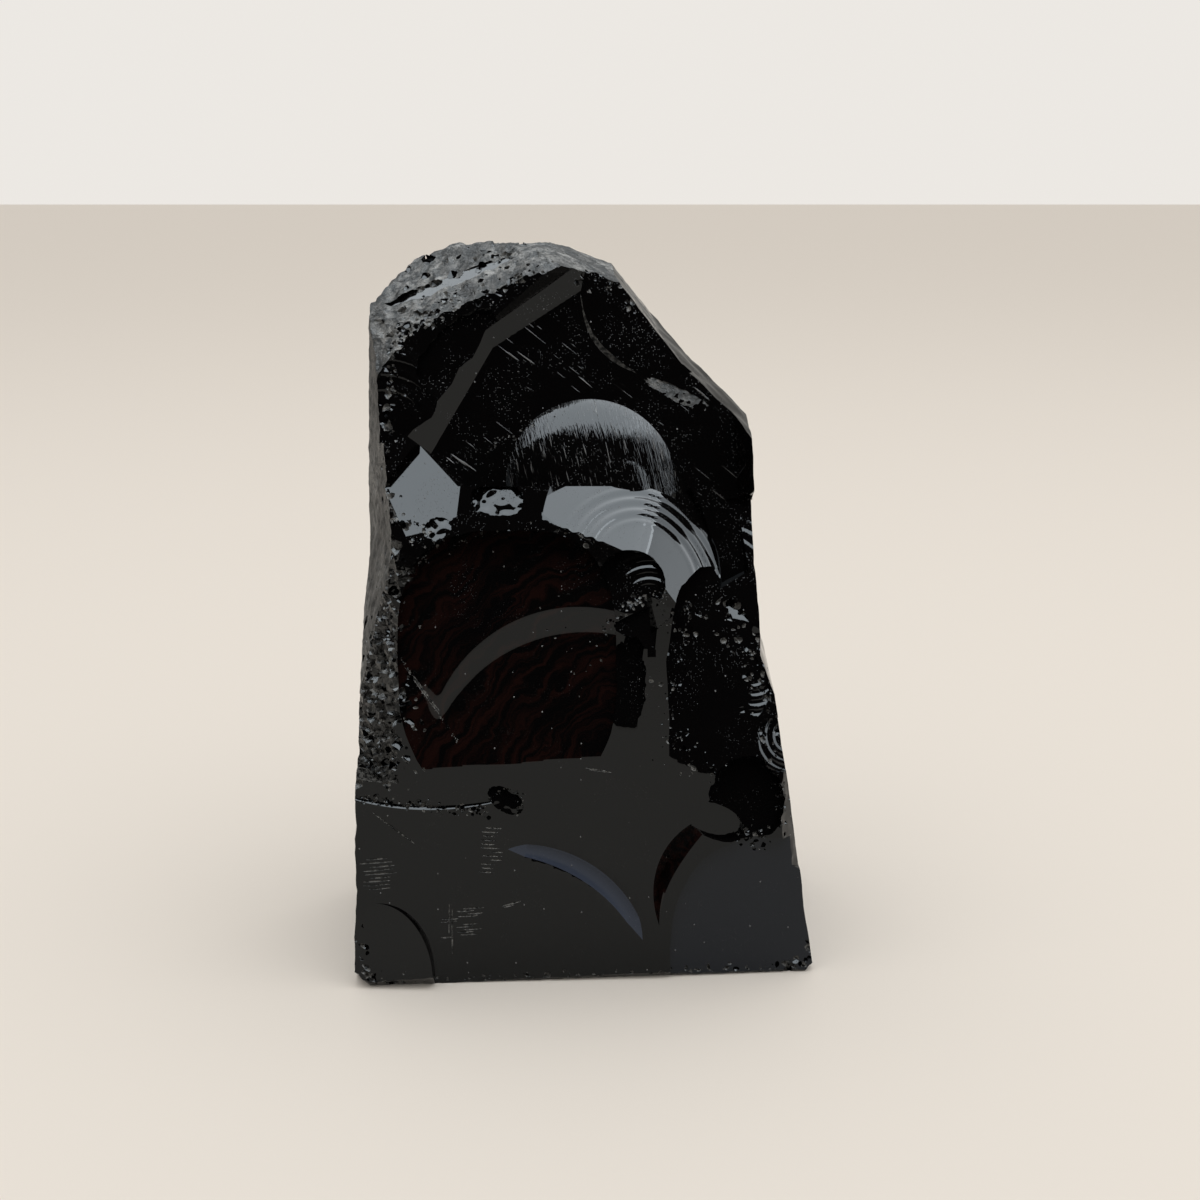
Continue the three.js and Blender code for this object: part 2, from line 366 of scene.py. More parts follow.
lowerFront = [
    {
        "at": (-11, -22, 0), "azimuth": 2.5, "tilt": 1.5, "span": (90, 130), "cell": 1.2,
        "wave": (0.03, 14),
    },
    {
        "at": (-3, -21.3, 29), "azimuth": 2.5, "tilt": 6, "span": (90, 130), "cell": 1.2,
        "wave": (0.03, 14),
    },
]
heel = [  # the left foot swings forward below this face, inside an upright oval
    {"at": (-24, -22.7, 11), "azimuth": -4, "tilt": 9, "span": (60, 60), "cell": 0.8},
    {"at": (-27, -18, 1), "radii": (7.6, 30, 10.5), "azimuth": 0, "tilt": 0},
]
bevel = {
    "at": (0, -21.7, 0.8), "azimuth": 4.5, "tilt": -50, "span": (80, 16), "cell": 0.6, "lift": 12,
    "grain": (0.12, 1.2),
}
leftCorner = {
    "at": (-24, -20.4, 44), "azimuth": -42, "tilt": 5, "span": (40, 44), "cell": 0.35,
    "outline": {"reach": (8, 16), "square": 3, "ragged": (0.06, 3)}, "wave": (0.3, 5),
    "grain": (0.35, 1.6), "chips": (0.5, 1.1), "finish": {"crushed": 0.3},
}

crown = {
    "at": (-10.7, 4, 73.5), "radii": (20, 20, 21.5), "fullness": 2.5, "rightStretch": 1.7,
    "grain": (0.34, 3.4), "pits": (0.11, 0.9), "flats": (0.3, 3.0),
}

crownFaces = [
    {
        "at": (-11, -6.3, 90.3), "azimuth": -35, "tilt": 52, "span": (44, 44), "cell": 0.35,
        "grain": (0.34, 2.8), "chips": (0.17, 1.7), "finish": worn,
    },
    {
        "at": (-24.3, -6.5, 83), "azimuth": -33, "tilt": 33, "span": (60, 60), "cell": 0.35,
        "grain": (0.34, 2.8), "chips": (0.2, 2.0), "finish": worn,
    },
]

upperScar = [
    {
        "at": (2.3, -6.2, 75.3), "azimuth": 8, "tilt": 12, "span": (60, 60), "cell": 0.5,
        "wave": (0.06, 8), "grain": (0.012, 0.8), "finish": {"hackled": 1},
    },
    {
        "at": (-11.6, -6.66, 82.2), "azimuth": 34, "tilt": -5, "span": (60, 80), "cell": 0.8,
        "wave": (0.04, 8),
    },
    {
        "at": (-11.6, -6.66, 82.2), "azimuth": 22, "tilt": -11, "span": (60, 80), "cell": 0.8,
        "wave": (0.04, 8),
    },
    {"at": (-6.6, -8.3, 90.6), "azimuth": 46, "tilt": -38, "span": (60, 60), "cell": 2},
    {"at": (15.5, -12, 48), "azimuth": 0, "tilt": 88, "span": (90, 60), "cell": 2, "lift": 60},
]
upperScarEnds = [
    {"at": (-14.7, -12, 64.4), "azimuth": 90, "tilt": 47, "span": (90, 90), "cell": 2},
    {"at": (-14.7, -12, 64.9), "azimuth": 180, "tilt": 80, "span": (90, 90), "cell": 2},
    {"at": (15.5, -10, 49), "azimuth": 80, "tilt": 30, "span": (90, 90), "cell": 2},
]
dome = {
    "at": (1.8, -6, 63.3), "radii": (13.3, 5.4, 12.6), "azimuth": 12, "tilt": 8, "spin": -30,
    "around": 150, "up": 100, "finish": {"hackled": 0.5},
}
leftSwell = {
    "at": (-2.6, -6, 62), "radii": (12.4, 5, 11.2), "azimuth": -12, "tilt": 8, "spin": 20,
    "around": 120, "up": 80, "finish": {"hackled": 0.5},
}
bulb = {
    "at": (7.6, -8, 55.3), "radii": (12, 10, 8.5), "azimuth": 0, "tilt": 0, "spin": -35,
    "around": 130, "up": 90,
}
seat = [  # smooth face that lies back below the dome, and the plane that ends it on the left
    {
        "at": (7.4, -17.3, 57.6), "azimuth": 22, "tilt": 45, "span": (27, 34), "cell": 0.25,
        "wave": (0.05, 6), "outline": {"reach": (12.6, 16)},
        "bends": [{"turn": -119, "line": 0, "soft": 3, "slope": -0.425}],
        "ripples": [{
            "centre": (1.0, -2.5), "start": 6.2, "stop": 13, "wave": 1.7, "height": 0.09,
            "soft": 1.5,
        }],
    },
    {
        "at": (-6, -15.8, 65), "azimuth": 35, "tilt": 15, "span": (60, 50), "cell": 0.4,
        "wave": (0.1, 5),
    },
]

scars = {
    "bigBowl": {
        "at": (-9.6, -18.5, 43.2), "azimuth": 2, "tilt": 9, "span": (31, 36),
        "outline": {"reach": (14, 17), "square": 3, "ragged": (0.012, 3)}, "cell": 0.3,
        "wave": (0.04, 7), "finish": {"flow": 1},
        "terrace": {
            "turn": 30, "inner": (0.15, -19.95, 21), "outer": (1.5, -15.3, 19.5), "end": -9.5,
            "below": -0.045, "slope": 0.14, "above": -0.072, "soft": 0.3,
        },
    },
    "bowlSide": {
        "at": (5.6, -19.1, 40), "azimuth": 4, "tilt": 14, "spin": -6, "span": (9, 18),
        "outline": {"reach": (2.5, 6.6), "ragged": (0.2, 3)}, "cell": 0.5,
    },
    "rightToe": {
        "at": (30.2, -19.5, 0.9), "azimuth": 72, "tilt": -38, "span": (12, 8), "cell": 0.5,
        "lift": 6, "grain": (0.25, 1.5),
    },
    "leftToe": {
        "at": (-29.9, -21.3, 0.9), "azimuth": -60, "tilt": -40, "span": (10, 8), "cell": 0.5,
        "lift": 6, "grain": (0.25, 1.5),
    },
    "blackNotch": {
        "at": (7.4, -18.2, 47.6), "azimuth": 10, "tilt": 24, "span": (12, 12),
        "outline": {"reach": (4.2, 3.8), "sides": 3, "turn": 84}, "cell": 0.6,
    },
    "rightHollow": {
        "at": (20.4, -16.3, 36.5), "azimuth": 12, "tilt": 20, "span": (30, 46),
        "outline": {"reach": (9.9, 18.5), "square": 3, "ragged": (0.05, 4)}, "cell": 0.5,
        "wave": (0.25, 4), "grain": (0.03, 0.8),
    },
    # the foot's flake: a slightly hazed face with a faint painted bluish sheen of reflected light
    "footFlake": {
        "at": (24, -19.2, 3), "azimuth": 5, "tilt": 2.5, "span": (34, 44),
        "outline": {"reach": (12.5, 16.5), "square": 2.4, "ragged": (0.01, 3)}, "cell": 1,
        "finish": {"hazeAndPaintedSheen": 0.2},
    },
    "footTongue": {
        "at": (17.3, -18.6, 21.6), "azimuth": 10, "tilt": 4, "spin": -25, "span": (12, 8),
        "outline": {"reach": (4, 2.2), "ragged": (0.05, 3)}, "cell": 0.5,
    },
    "footNotch": {
        "at": (21.2, -18, 24.4), "azimuth": 10, "tilt": 15, "spin": 10, "span": (14, 14),
        "outline": {"reach": (5, 5.6), "ragged": (0.12, 3)}, "cell": 0.5,
    },
    "shoulderScar": {
        "at": (10, -0.8, 88), "azimuth": 14, "tilt": 12, "span": (26, 26),
        "outline": {"reach": (10.6, 10.6), "ragged": (0.015, 3)}, "cell": 0.5, "wave": (0.1, 5),
    },
    "brightFacet": {
        "at": (-19.9, -15.3, 64.7), "azimuth": -6, "tilt": 32, "span": (16, 16),
        "outline": {"reach": (5.4, 6.6), "sides": 5, "turn": 86}, "cell": 0.4, "wave": (0.03, 4),
    },
    "crumpledFacet": {
        "at": (-10.7, -15.3, 63.3), "azimuth": -5, "tilt": 34, "span": (10, 7),
        "outline": {"reach": (3.3, 2.1), "square": 2.6, "ragged": (0.1, 3)}, "cell": 0.2,
        "wave": (0.22, 1.1),
    },
    "crumpledFoot": {
        "at": (-18.2, -17.9, 60.4), "azimuth": -10, "tilt": 36, "span": (6, 6),
        "outline": {"reach": (1.7, 1.6), "ragged": (0.15, 3)}, "cell": 0.2, "wave": (0.2, 1),
    },
    "leftCrownScar": {
        "at": (-22, -9.2, 77.5), "azimuth": -16, "tilt": 14, "spin": -32, "span": (12, 21),
        "outline": {"reach": (4.6, 8.5), "ragged": (0.06, 3)}, "cell": 0.25,
        "ripples": [{"centre": (1, -9), "start": 6, "stop": 15, "wave": 2.0, "height": 0.075}],
    },
    "crownHollow": {
        "at": (-16.2, -7.6, 82.6), "azimuth": -6, "tilt": 15, "spin": -48, "span": (12, 18),
        "outline": {"reach": (2.6, 6.4), "ragged": (0.08, 3)}, "cell": 0.4, "wave": (0.2, 2),
    },
    "rippleChip": {
        "at": (6.2, -16.8, 53.2), "azimuth": 5, "tilt": 20, "span": (12, 12),
        "outline": {"reach": (4.4, 4.0), "ragged": (0.03, 3)}, "cell": 0.16,
        "ripples": [{
            "centre": (2.4, -2.8), "start": 1.8, "stop": 7, "wave": 1.5, "height": 0.068,
            "soft": 0.5,
        }],
    },
    "fanChip": {
        "at": (10.2, -16.6, 49.4), "azimuth": -14, "tilt": 2, "span": (8, 8),
        "outline": {"reach": (2.7, 2.9), "sides": 3, "turn": -80}, "cell": 0.2,
        "ripples": [{"centre": (0, -3), "start": 0, "stop": 8, "wave": 0.7, "height": 0.012}],
    },
    "rightChipHigh": {
        "at": (20.6, -15.6, 39), "azimuth": 22, "tilt": 21, "span": (12, 12),
        "outline": {"reach": (4.2, 4.6), "ragged": (0.05, 3)}, "cell": 0.2,
        "ripples": [{
            "centre": (2.2, 2.2), "start": 1.5, "stop": 7, "wave": 1.3, "height": 0.06,
            "soft": 0.5,
        }],
    },
    "rightChipLow": {
        "at": (25.4, -16.4, 31.2), "azimuth": 26, "tilt": 18, "span": (9, 9),
        "outline": {"reach": (3, 3.6), "ragged": (0.05, 3)}, "cell": 0.2,
        "ripples": [{
            "centre": (2, 1), "start": 1, "stop": 6, "wave": 1.2, "height": 0.055, "soft": 0.5,
        }],
    },
    "rightNick": {
        "at": (20.9, -8.2, 57), "azimuth": 14, "tilt": 23, "span": (13, 14),
        "outline": {"reach": (5.2, 5.6), "ragged": (0.06, 3)}, "cell": 0.3, "wave": (0.12, 3),
        "ripples": [{
            "centre": (-3, -5), "start": 2, "stop": 9, "wave": 1.4, "height": 0.05, "soft": 0.5,
        }],
    },
    "rightSliver": {
        "at": (20.4, -11.9, 47.6), "azimuth": 20, "tilt": 40, "spin": 28, "span": (5, 8),
        "outline": {"reach": (0.9, 2.3), "ragged": (0.1, 3)}, "cell": 0.2,
    },
    "crackChip": {
        "at": (-10, -20.9, 25.2), "azimuth": 8, "tilt": 14, "spin": -35, "span": (7, 6),
        "outline": {"reach": (2.6, 1.5), "ragged": (0.08, 3)}, "cell": 0.3, "wave": (0.12, 0.8),
    },
    "glossStrip": {
        "at": (-17.6, -1.35, 90), "azimuth": -31, "tilt": 46, "spin": 32, "span": (21, 5),
        "outline": {"reach": (9, 1.25), "ragged": (0.1, 3)}, "cell": 0.3,
    },
    "glossPatch": {
        "at": (-24.6, -5.6, 84.4), "azimuth": -36, "tilt": 36, "spin": 20, "span": (6, 6),
        "outline": {"reach": (2, 1.5), "ragged": (0.2, 3)}, "cell": 0.3,
    },
    "beigeChip": {
        "at": (12.6, -4.6, 75.8), "azimuth": 8, "tilt": 14, "spin": -26, "span": (10, 5),
        "outline": {"reach": (4.8, 0.9), "ragged": (0.2, 2)}, "cell": 0.3, "grain": (0.1, 0.7),
        "finish": {"skin": 1},
    },
    "leftSideScar": {
        "at": (-28.8, -4, 54), "azimuth": -88, "tilt": 2, "reach": (14, 14), "rise": 2,
        "power": 2, "cell": 0.6,
    },
    "backBowl": {
        "at": (4, 19, 44), "azimuth": 176, "tilt": 8, "spin": 20, "reach": (22, 26), "rise": 5,
        "power": 2, "cell": 0.7,
        "ripples": [{
            "centre": (0, 24), "start": 10, "stop": 44, "wave": 3.4, "height": 0.045, "soft": 6,
        }],
    },
    "backLowScar": {
        "at": (-14, 20.5, 16), "azimuth": -160, "tilt": -6, "spin": -15, "reach": (15, 13),
        "rise": 3.5, "power": 2, "cell": 0.7,
        "ripples": [{
            "centre": (-8, 9), "start": 5, "stop": 26, "wave": 2.6, "height": 0.03, "soft": 4,
        }],
    },
    "backHighScar": {
        "at": (16.6, 6.8, 69.6), "azimuth": 128, "tilt": 17, "spin": -20, "reach": (11, 19),
        "rise": 3, "power": 2.2, "cell": 0.7,
        "ripples": [{
            "centre": (4, 16), "start": 6, "stop": 30, "wave": 2.8, "height": 0.035, "soft": 4,
        }],
    },
    "backLeftBowl": {
        "at": (-23.6, 8.1, 54.8), "azimuth": -127, "tilt": 7, "spin": 15, "reach": (12, 20),
        "rise": 3.2, "power": 2.2, "cell": 0.7,
        "ripples": [{
            "centre": (0, 14), "start": 5, "stop": 30, "wave": 2.6, "height": 0.03, "soft": 4,
        }],
    },
    "backFootScar": {
        "at": (9, 22.8, 11), "azimuth": 177, "tilt": 1, "reach": (16, 12), "rise": 3.4,
        "power": 2, "cell": 0.8,
    },
    "backCornerScar": {
        "at": (24.4, 13, 21.6), "azimuth": 124, "tilt": 10, "spin": -12, "reach": (12, 16),
        "rise": 3.2, "power": 2, "cell": 0.8,
        "ripples": [{
            "centre": (4, 14), "start": 6, "stop": 30, "wave": 2.8, "height": 0.03, "soft": 4,
        }],
    },
    "leftLowScar": {
        "at": (-28.8, -1, 21), "azimuth": -91, "tilt": 1, "spin": 10, "reach": (13, 15),
        "rise": 3, "power": 2, "cell": 0.8,
    },
    "rightSideScar": {
        "at": (24.5, 4, 30), "azimuth": 94, "tilt": 10, "spin": 12, "reach": (15, 24),
        "rise": 3.5, "power": 2, "cell": 0.7,
        "ripples": [{
            "centre": (0, 20), "start": 8, "stop": 40, "wave": 3, "height": 0.035, "soft": 6,
        }],
    },
}


# arcs on the lower front: the rib, pale from its rougher haze and a painted bluish sheen,
# and the dark sickle beside the foot's flake
grooves = {
    "rib": {
        "at": (-10.45, -22, -0.93), "azimuth": 2.5, "tilt": 1.5, "radius": 19.54, "arc": (101, 0),
        "thick": 3.0, "lift": 2.65, "blunt": 0.12, "ends": (1.02, 0.95), "finish": {"hazeAndPaintedSheen": 1},
    },
    "sickle": {
        "at": (24.2, -19.9, 10), "azimuth": 2.5, "tilt": 1.5, "radius": 14.3, "arc": (202, 112),
        "thick": 2.7, "lift": 0.8, "sides": 4, "blunt": 0.7, "ends": (0.3, 1),
        "finish": {"flow": 1},
    },
    "shoulderRim": {
        "at": (10, -0.8, 88), "azimuth": 14, "tilt": 12, "radius": 10.5, "arc": (172, 252),
        "thick": 0.85, "lift": 0.15, "sides": 4, "blunt": 0.4, "ends": (0.35, 1.35),
        "finish": {"crushed": 0.9},
    },
    "crackLine": {
        "at": (-19, -20.67, 64), "azimuth": 2.5, "tilt": 1.5, "radius": 39.6, "arc": (253, 286),
        "thick": 0.5, "lift": 0.15, "sides": 4, "blunt": 0.3, "ends": (1, 0.7),
    },
}

# small chips along broken edges: a path over the front (x, z), its spread, the number of
# chips, their sizes and how many of them are crushed white
nickPaths = {
    "leftEdge": {
        "path": [(-23.7, 56.7), (-25, 46.6), (-23.6, 36.3), (-24.3, 28.4)], "spread": 1.5,
        "count": 130, "size": (0.3, 1.0), "crushed": 0.4,
    },
    "leftFlank": {
        "path": [(-28, 49), (-28.6, 38), (-29.1, 28.3)], "spread": 1.6, "count": 70,
        "size": (0.4, 1.3), "crushed": 0.5,
    },
    "ledgeCrack": {
        "path": [(-29.3, 25.8), (-23.5, 25), (-18.4, 24.5), (-12, 23.6)], "spread": 0.35,
        "count": 120, "size": (0.15, 0.6), "crushed": 0.5,
    },
    "bowlRight": {
        "path": [(2.9, 46.8), (5.6, 50.1), (7.6, 51.1), (11.2, 52.2)], "spread": 0.35,
        "count": 60, "size": (0.18, 0.5), "crushed": 0.8,
    },
    "fanEdges": {
        "path": [(9.8, 51), (13.5, 44.5), (13.9, 49.6), (21.5, 41)], "spread": 0.3, "count": 60,
        "size": (0.15, 0.4), "crushed": 0.7,
    },
    "bowlTop": {
        "path": [(-22, 54.5), (-19.2, 57.3), (-10.4, 59.9), (-2.8, 60.2), (2.3, 58.6)],
        "spread": 0.4, "count": 60, "size": (0.15, 0.5), "crushed": 0.6,
    },
    "facetFoot": {
        "path": [(-24.9, 63.5), (-22.2, 60.6), (-17.6, 59)], "spread": 0.8, "count": 45,
        "size": (0.3, 0.9), "crushed": 0.4,
    },
    "rightRim": {
        "path": [(19, 49), (21.5, 44), (23, 41), (24.7, 36), (26.2, 30)], "spread": 1.3,
        "count": 90, "size": (0.25, 0.9), "crushed": 0.5,
    },
    "rightHollowEdge": {
        "path": [(12.4, 44), (11.6, 36), (12.4, 31), (18, 28)], "spread": 1.4, "count": 80,
        "size": (0.15, 0.6), "crushed": 0.4,
    },
    "flakeTop": {
        "path": [(20.5, 19.5), (23.5, 18.6), (26.2, 20.5), (25.8, 27)], "spread": 0.7,
        "count": 50, "size": (0.2, 0.7), "crushed": 0.5,
    },
    "crownPits": {
        "path": [(-24, 86), (-19, 91), (-8, 94)], "spread": 1.6, "count": 60, "size": (0.3, 1.2),
        "crushed": 0.3,
    },
    "skinEdge": {
        "path": [
            (-24.3, 82), (-23, 84.5), (-19.8, 85.4), (-17.7, 88.3), (-10.6, 89.9), (-4.1, 92.6),
        ],
        "spread": 0.7, "count": 110, "size": (0.3, 0.9), "crushed": 0.6,
    },
    "skinSide": {
        "path": [(-24.3, 82), (-24.8, 77), (-25.3, 71), (-25.4, 62)], "spread": 0.6, "count": 60,
        "size": (0.3, 0.9), "crushed": 0.5,
    },
    "footEdge": {
        "path": [(-26, 0.7), (29.5, 0.9)], "spread": 0.3, "count": 90, "size": (0.15, 0.5),
        "crushed": 0.8,
    },
    "rightHeel": {
        "path": [(26, 1), (30.6, 0.8), (30.4, 5)], "spread": 0.6, "count": 45, "size": (0.3, 1.0),
        "crushed": 0.5,
    },
    "bowlScratch": {
        "path": [(-23.4, 43.8), (-16, 33)], "spread": 0.1, "count": 70, "size": (0.08, 0.2),
        "crushed": 1,
    },
    "chipRim": {
        "path": [(-12.5, 24.4), (-10, 27), (-7.4, 25.6), (-8.5, 23.4)], "spread": 0.25,
        "count": 35, "size": (0.12, 0.4), "crushed": 0.6,
    },
    "heelChips": {
        "path": [(-29.5, 8), (-28.8, 1.5), (-23, 1)], "spread": 0.7, "count": 40,
        "size": (0.3, 0.9), "crushed": 0.4,
    },
    "domeLeft": {
        "path": [(-13, 69), (-8, 71.8), (-3, 74.2)], "spread": 0.4, "count": 45,
        "size": (0.12, 0.35), "crushed": 0.7,
    },
    "peak": {
        "path": [(-2, 90.5), (3.5, 91.5), (9, 86)], "spread": 1.0, "count": 50,
        "size": (0.25, 0.8), "crushed": 0.5,
    },
    "bowlSpecks": {
        "path": [(-3, 50.5), (-2.5, 44), (0.5, 42), (-1.5, 38.5)], "spread": 1.2, "count": 18,
        "size": (0.12, 0.3), "crushed": 1,
    },
}

# the same along edges away from the front: points on the edge, cut where a line from
# outside meets it
backNickPaths = {
    "backRightEdge": {
        "path": [(24, 24, 4), (16, 20, 30), (12, 18, 50)], "spread": 1.0, "count": 60,
        "size": (0.3, 1.1), "crushed": 0.3,
    },
    "backLeftEdge": {
        "path": [(-15, 25, 3), (-13, 23, 30), (-11, 19, 62)], "spread": 1.0, "count": 60,
        "size": (0.3, 1.0), "crushed": 0.3,
    },
    "leftBackEdge": {
        "path": [(-30, 12, 3), (-29, 8, 35), (-27, 6, 66)], "spread": 0.9, "count": 60,
        "size": (0.3, 1.0), "crushed": 0.3,
    },
    "rightBackEdge": {
        "path": [(29, 8, 3), (25, 6, 30), (22, 2, 62)], "spread": 0.9, "count": 60,
        "size": (0.3, 1.0), "crushed": 0.3,
    },
    "backFoot": {
        "path": [(-29, 12, 0.6), (-14, 25, 0.6), (23, 25, 0.6), (29, 8, 0.6)], "spread": 0.3,
        "count": 80, "size": (0.2, 0.7), "crushed": 0.6,
    },
}

# sets of fine parallel scratches: middle (x, z), area, number, length and slope in degrees
scratchSets = [
    {"at": (-26.2, 15.5), "area": (1.5, 4.6), "count": 9, "length": 4.2, "slope": 4},
    {"at": (-25, 21.6), "area": (3, 1), "count": 2, "length": 8.5, "slope": -39},
    {"at": (-15.8, 8.5), "area": (4.5, 4.4), "count": 12, "length": 2.6, "slope": 3},
    {"at": (-17.3, 7.5), "area": (1, 5), "count": 3, "length": 5.5, "slope": 88},
    {"at": (-11.8, 18.5), "area": (1.5, 6.6), "count": 12, "length": 2.4, "slope": -4},
    {"at": (-10, 10.9), "area": (2.5, 0.6), "count": 2, "length": 2.4, "slope": 14},
    {"at": (-19.8, 38.8), "area": (0.6, 0.4), "count": 2, "length": 13.5, "slope": -52},
    {"at": (3.5, 29.2), "area": (4, 0.5), "count": 2, "length": 4.4, "slope": -8},
]


def crownCutter():
    # everything above the crown's foot that lies outside its full, rounded shape
    bm = bmesh.new()
    bmesh.ops.create_uvsphere(bm, u_segments=190, v_segments=130, radius=1)
    full, stretch = crown["fullness"], crown["rightStretch"]
    for vert in bm.verts:
        ray = vert.co
        size = abs(ray.x) ** full + abs(ray.y) ** full + abs(ray.z) ** full
        ray *= size ** (-1 / full)
        across = crown["radii"][0] * (stretch if ray.x > 0 else 1)
        vert.co = (ray.x * across, ray.y * crown["radii"][1], ray.z * crown["radii"][2])
    bmesh.ops.translate(bm, vec=crown["at"], verts=bm.verts)
    bmesh.ops.recalc_face_normals(bm, faces=bm.faces)
    bm.normal_update()
    for vert in bm.verts:
        bump = grainNoise(vert.co, *crown["grain"])
        bump += chipNoise(vert.co, *crown["pits"])
        bump += chipNoise(vert.co, *crown["flats"])
        vert.co += vert.normal * bump
    ball = newObject("crown", bm, worn)
    block = bmesh.new()
    bmesh.ops.create_cube(block, size=1)
    bmesh.ops.scale(block, vec=(120, 120, 60), verts=block.verts)
    bmesh.ops.translate(block, vec=(0, 0, crown["at"][2] + 30), verts=block.verts)
    return combine(newObject("above", block, worn), ball, "DIFFERENCE")


def roughBlock():
    bm = bmesh.new()
    bmesh.ops.create_cube(bm, size=1)
    bmesh.ops.scale(bm, vec=(2 * halfWidth + 4, 58, drawnHeight + 1), verts=bm.verts)
    bmesh.ops.translate(bm, vec=(0, 0, (drawnHeight + 1) / 2), verts=bm.verts)
    return newObject("obsidian", bm)


def breakStone():
    stone = roughBlock()
    for face in lowerFront:
        plate = combine(ballOf(heel[1]), cutterOf(heel[0]), "DIFFERENCE")
        combine(stone, combine(cutterOf(face), plate, "DIFFERENCE"), "DIFFERENCE")
    combine(stone, cutterOf(bevel), "DIFFERENCE")
    for face in outerFaces.values():
        combine(stone, cutterOf(face), "DIFFERENCE")
    for faces in brokenCorners.values():
        combine(stone, cutterOfAll(faces), "DIFFERENCE")
    combine(stone, cutterOf(leftCorner), "DIFFERENCE")
    combine(stone, crownCutter(), "DIFFERENCE")
    for face in crownFaces:
        combine(stone, cutterOf(face), "DIFFERENCE")
    print("block trimmed", len(stone.data.polygons))

    ends = combine(cutterOfAll(upperScarEnds[:2]), cutterOf(upperScarEnds[2]), "UNION")
    hollow = combine(cutterOfAll(upperScar), ends, "INTERSECT")
    seatCutter = cutterOfAll(seat)
    for lobe in (dome, leftSwell):
        combine(hollow, ballOf(lobe), "DIFFERENCE")
        combine(seatCutter, ballOf(lobe), "DIFFERENCE")
    combine(stone, combine(hollow, ballOf(bulb), "DIFFERENCE"), "DIFFERENCE")
    combine(stone, seatCutter, "DIFFERENCE")
    print("upper scar and lobes", len(stone.data.polygons))

    for scar in scars.values():
        combine(stone, cutterOf(scar), "DIFFERENCE")
    for groove in grooves.values():
        combine(stone, grooveOf(groove), "DIFFERENCE")
    print("scars", len(stone.data.polygons))
    return stone


def hitFromFront(tree, x, z):
    # where a level line from the front meets the stone
    place, normal, index, distance = tree.ray_cast(Vector((x, -80, z)), Vector((0, 1, 0)))
    return place, normal


def hitFromRound(tree, x, y, z):
    # where a level line towards the middle, through a point, meets the stone
    away = Vector((x, y, 0)).normalized() * 80
    place, normal, index, distance = tree.ray_cast(away + Vector((0, 0, z)), -away)
    return place, normal


def chipBatches(tree, paths, hit):
    # chips that don't touch one another share a batch, and so one cut
    batches = {0: [], 1: []}
    for nick in paths.values():
        path = [Vector(point) for point in nick["path"]]
        for chip in range(nick["count"]):
            step = rng.random() * (len(path) - 1)
            leg = min(int(step), len(path) - 2)
            middle = path[leg].lerp(path[leg + 1], step - leg)
            spot = [value + rng.gauss(0, nick["spread"]) for value in middle]
            size = nick["size"][0] + (nick["size"][1] - nick["size"][0]) * rng.random() ** 2
            crushed = int(rng.random() < nick["crushed"])
            place, normal = hit(tree, *spot)
            if place is None or spot[-1] < 0.2:
                continue
            centre = place + normal * size * rng.uniform(0.1, 0.6)
            for batch in batches[crushed]:
                if all((centre - other).length > 1.4 * (size + wide) for other, wide in batch):
                    batch.append((centre, size))
                    break
            else:
                batches[crushed].append([(centre, size)])
    return batches


def cutNicks(stone, tree, paths, hit):
    for crushed, batches in chipBatches(tree, paths, hit).items():
        for batch in batches:
            bm = bmesh.new()
            for centre, size in batch:
                turn = Matrix.Rotation(rng.uniform(0, 6), 4,
                                       Vector((rng.random(), rng.random(), 1)))
                grow = Matrix.Diagonal((size * rng.uniform(0.7, 1.4), size,
                                        size * rng.uniform(0.7, 1.1), 1))
                made = bmesh.ops.create_icosphere(bm, subdivisions=1, radius=1,
                                                  matrix=Matrix.Translation(centre) @ turn @ grow)
                for vert in made["verts"]:
                    vert.co = centre + (vert.co - centre) * rng.uniform(0.55, 1.15)
            bmesh.ops.recalc_face_normals(bm, faces=bm.faces)
            combine(stone, newObject("nicks", bm, {"crushed": crushed * 0.7}), "DIFFERENCE")


def cutScratches(stone, tree):
    for scratches in scratchSets:
        bm = bmesh.new()
        count = scratches["count"]
        for line in range(count):
            x = scratches["at"][0] + rng.uniform(-0.5, 0.5) * scratches["area"][0]
            z = scratches["at"][1] + ((line + 0.5) / count - 0.5) * scratches["area"][1]
            place, normal = hitFromFront(tree, x, z)
            if place is None:
                continue
            reach = scratches["length"] * rng.uniform(0.3, 0.55)
            turn = normal.to_track_quat("Z", "Y").to_matrix().to_4x4()
            slope = Matrix.Rotation(radians(scratches["slope"] + rng.uniform(-1, 1)), 4, "Z")
            bmesh.ops.create_uvsphere(bm, u_segments=16, v_segments=6, radius=1,
                                      matrix=Matrix.Translation(place) @ turn @ slope
                                      @ Matrix.Diagonal((reach, 0.1, 0.12, 1)))
        bmesh.ops.recalc_face_normals(bm, faces=bm.faces)
        combine(stone, newObject("scratches", bm, {"crushed": 1}), "DIFFERENCE")


def looseCrumbs(bm):
    # every group of joined faces apart from the largest
    for face in bm.faces:
        face.tag = False
    groups = []
    for face in bm.faces:
        if face.tag:
            continue
        face.tag = True
        group = [face]
        for member in group:  # grows while it is walked
            for other in [near for edge in member.edges for near in edge.link_faces]:
                if not other.tag:
                    other.tag = True
                    group.append(other)
        groups.append(group)
    groups.sort(key=len)
    return [face for group in groups[:-1] for face in group]


